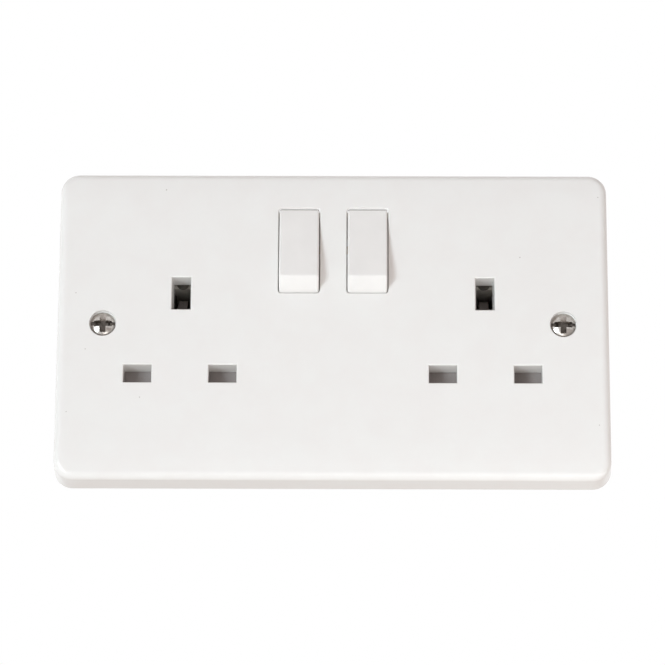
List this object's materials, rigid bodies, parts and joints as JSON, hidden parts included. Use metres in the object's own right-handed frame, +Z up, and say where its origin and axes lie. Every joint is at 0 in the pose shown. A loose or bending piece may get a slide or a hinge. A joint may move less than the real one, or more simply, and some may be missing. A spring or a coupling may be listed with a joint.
{
  "type": "twin switched socket outlet",
  "caption": "White moulded twin wall outlet for three-pin plugs, with two rocker switches, pin shutters, contacts, terminals and fixing screws.",
  "frame": {"origin": "midway between the two fixing screws, on the plane of the plate's rear rim", "axes": "+X right seen from the front, +Y into the wall, +Z up"},
  "size_m": [0.145, 0.0297, 0.085],
  "materials": {
    "white_moulding": "glossy white urea moulding",
    "rear_moulding": "matt off-white moulding",
    "shutter_moulding": "matt grey moulding",
    "plunger_moulding": "natural nylon",
    "brass": "bright rolled brass strip",
    "tinned_brass": "dull tin-plated brass strip",
    "copper": "rolled copper strip",
    "silver": "silver contact metal",
    "plated_steel": "bright nickel-plated steel",
    "spring_steel": "drawn spring wire"
  },
  "bodies": {
    "outlet": {"front_plate": "white_moulding", "rear_moulding": "rear_moulding", "live_busbar": "brass", "neutral_bar": "brass", "earth_strap": "tinned_brass", "assembly_screws": "plated_steel", "fixed_tip_left": "silver", "fixed_tip_right": "silver", "live_contact_left": "brass", "live_contact_right": "brass", "fixing_screw_left": "plated_steel", "fixing_screw_right": "plated_steel", "shutter_spring_left": "spring_steel", "shutter_spring_right": "spring_steel"},
    "switch_left": {"rocker_left": "white_moulding", "rocker_spring_left": "spring_steel"},
    "plunger_left": {"rocker_plunger_left": "plunger_moulding"},
    "rocking_bar_left": {"moving_contact_left": "copper", "moving_tip_left": "silver"},
    "pin_shutter_left": {"shutter_left": "shutter_moulding"},
    "switch_right": {"rocker_right": "white_moulding", "rocker_spring_right": "spring_steel"},
    "plunger_right": {"rocker_plunger_right": "plunger_moulding"},
    "rocking_bar_right": {"moving_contact_right": "copper", "moving_tip_right": "silver"},
    "pin_shutter_right": {"shutter_right": "shutter_moulding"},
    "clamp_live": {"terminal_screw_live": "plated_steel"},
    "clamp_neutral": {"terminal_screw_neutral": "plated_steel"},
    "clamp_earth_left": {"terminal_screw_earth_left": "plated_steel"},
    "clamp_earth_right": {"terminal_screw_earth_right": "plated_steel"}
  },
  "joints": [
    {"name": "rocker_left_turn", "type": "hinge", "parent": "outlet", "child": "switch_left", "pos_m": [-0.009, -0.002, 0.0204], "axis": [1, 0, 0], "range_deg": [0, 20.2]},
    {"name": "moving_contact_left_rock", "type": "hinge", "parent": "outlet", "child": "rocking_bar_left", "pos_m": [-0.009, 0.0114, 0.0204], "axis": [1, 0, 0], "range_deg": [-16.2, 0]},
    {"name": "plunger_left_slide", "type": "slide", "parent": "switch_left", "child": "plunger_left", "axis": [0, -0.9845, 0.1754], "range_m": [0, 0.0008], "stiffness_N_per_m": 300, "springref_m": -0.002, "deforming": ["rocker_spring_left"]},
    {"name": "shutter_left_slide", "type": "slide", "parent": "outlet", "child": "pin_shutter_left", "axis": [0, 0, -1], "range_m": [0, 0.0056], "stiffness_N_per_m": 100, "springref_m": -0.005, "deforming": ["shutter_spring_left"]},
    {"name": "rocker_right_turn", "type": "hinge", "parent": "outlet", "child": "switch_right", "pos_m": [0.009, -0.002, 0.0204], "axis": [1, 0, 0], "range_deg": [0, 20.2]},
    {"name": "moving_contact_right_rock", "type": "hinge", "parent": "outlet", "child": "rocking_bar_right", "pos_m": [0.009, 0.0114, 0.0204], "axis": [1, 0, 0], "range_deg": [-16.2, 0]},
    {"name": "plunger_right_slide", "type": "slide", "parent": "switch_right", "child": "plunger_right", "axis": [0, -0.9845, 0.1754], "range_m": [0, 0.0008], "stiffness_N_per_m": 300, "springref_m": -0.002, "deforming": ["rocker_spring_right"]},
    {"name": "shutter_right_slide", "type": "slide", "parent": "outlet", "child": "pin_shutter_right", "axis": [0, 0, -1], "range_m": [0, 0.0056], "stiffness_N_per_m": 100, "springref_m": -0.005, "deforming": ["shutter_spring_right"]},
    {"name": "terminal_screw_live_travel", "type": "slide", "parent": "outlet", "child": "clamp_live", "axis": [0, -1, 0], "range_m": [0, 0.0038]},
    {"name": "terminal_screw_neutral_travel", "type": "slide", "parent": "outlet", "child": "clamp_neutral", "axis": [0, -1, 0], "range_m": [0, 0.0038]},
    {"name": "terminal_screw_earth_left_travel", "type": "slide", "parent": "outlet", "child": "clamp_earth_left", "axis": [0, -1, 0], "range_m": [0, 0.0038]},
    {"name": "terminal_screw_earth_right_travel", "type": "slide", "parent": "outlet", "child": "clamp_earth_right", "axis": [0, -1, 0], "range_m": [0, 0.0038]}
  ],
  "couplings": [
    {"joint": "moving_contact_left_rock", "follows": "rocker_left_turn", "ratio": -0.8},
    {"joint": "moving_contact_right_rock", "follows": "rocker_right_turn", "ratio": -0.8}
  ]
}
